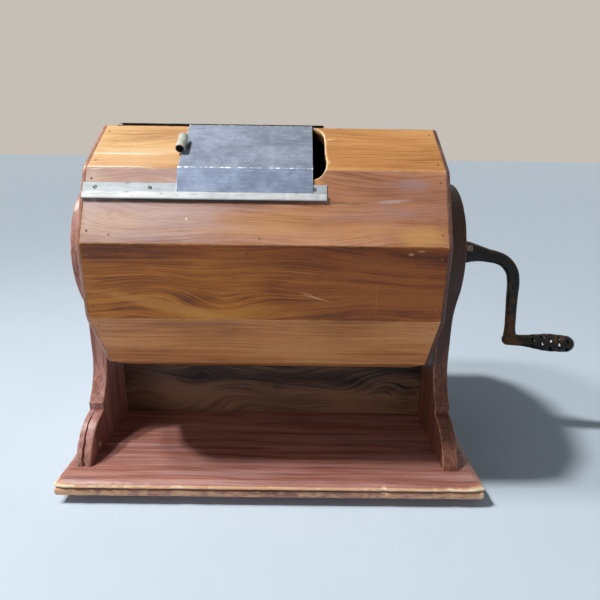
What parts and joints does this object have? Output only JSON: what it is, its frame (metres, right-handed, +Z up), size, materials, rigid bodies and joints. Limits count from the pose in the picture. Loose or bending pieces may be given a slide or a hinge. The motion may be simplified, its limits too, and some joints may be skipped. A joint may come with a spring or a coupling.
{
  "type": "hand crank tumbler drum",
  "caption": "Faceted wooden tumbler drum turned by a cast hand crank between shaped supports, with a bent sheet door that slides in rails over its mouth.",
  "frame": {"origin": "on the underside of the plinth, straight below the middle of the axle", "axes": "+Z up, +X along the axle towards the crank, -Y towards the front, where the sliding door is seen at rest"},
  "size_m": [0.772, 0.396, 0.4897],
  "materials": {
    "drum_wood": "old clear varnish over golden brown wood, worn and scuffed",
    "end_wood": "old varnish, worn at the rim",
    "stand_wood": "reddish brown varnish, worn to pale wood at the edges",
    "stretcher_wood": "very dark stain",
    "door_zinc": "dull grey zinc sheet with scratches and a worn crease",
    "rail_tin": "bright plated strip with small stains",
    "black_iron": "black japanned iron with brown rust where it is handled",
    "fastener_steel": "darkened steel",
    "brass": "dull brass"
  },
  "bodies": {
    "stand": {"base_board": "stand_wood", "plinth_board": "stand_wood", "left_support": "stand_wood", "right_support": "stand_wood", "stretcher_board": "stretcher_wood", "base_screws": "fastener_steel", "plinth_screws": "fastener_steel", "stretcher_screws": "fastener_steel", "foot_rivet": "brass", "left_bush": "brass", "right_bush": "brass"},
    "drum": {"stave_01": "drum_wood", "stave_03": "drum_wood", "stave_04": "drum_wood", "stave_05": "drum_wood", "stave_06": "drum_wood", "stave_07": "drum_wood", "stave_08": "drum_wood", "stave_09": "drum_wood", "stave_10": "drum_wood", "stave_11": "drum_wood", "stave_12": "drum_wood", "door_stave_left": "drum_wood", "door_stave_right": "drum_wood", "left_end_board": "end_wood", "right_end_board": "end_wood", "front_rail": "rail_tin", "rear_rail": "rail_tin", "crank": "black_iron", "left_gudgeon": "black_iron", "right_gudgeon": "black_iron", "stave_nails": "fastener_steel", "left_flange_screws": "fastener_steel", "right_flange_screws": "fastener_steel", "rail_screws": "fastener_steel", "crank_set_screw": "fastener_steel", "left_thrust_washer": "fastener_steel", "right_thrust_washer": "fastener_steel"},
    "door": {"door_sheet": "door_zinc"}
  },
  "joints": [
    {"name": "drum_spin", "type": "hinge", "parent": "stand", "child": "drum", "pos_m": [0, 0, 0.3103], "axis": [1, 0, 0], "continuous": true},
    {"name": "door_slide", "type": "slide", "parent": "drum", "child": "door", "axis": [1, 0, 0], "range_m": [-0.1025, 0.017]}
  ]
}
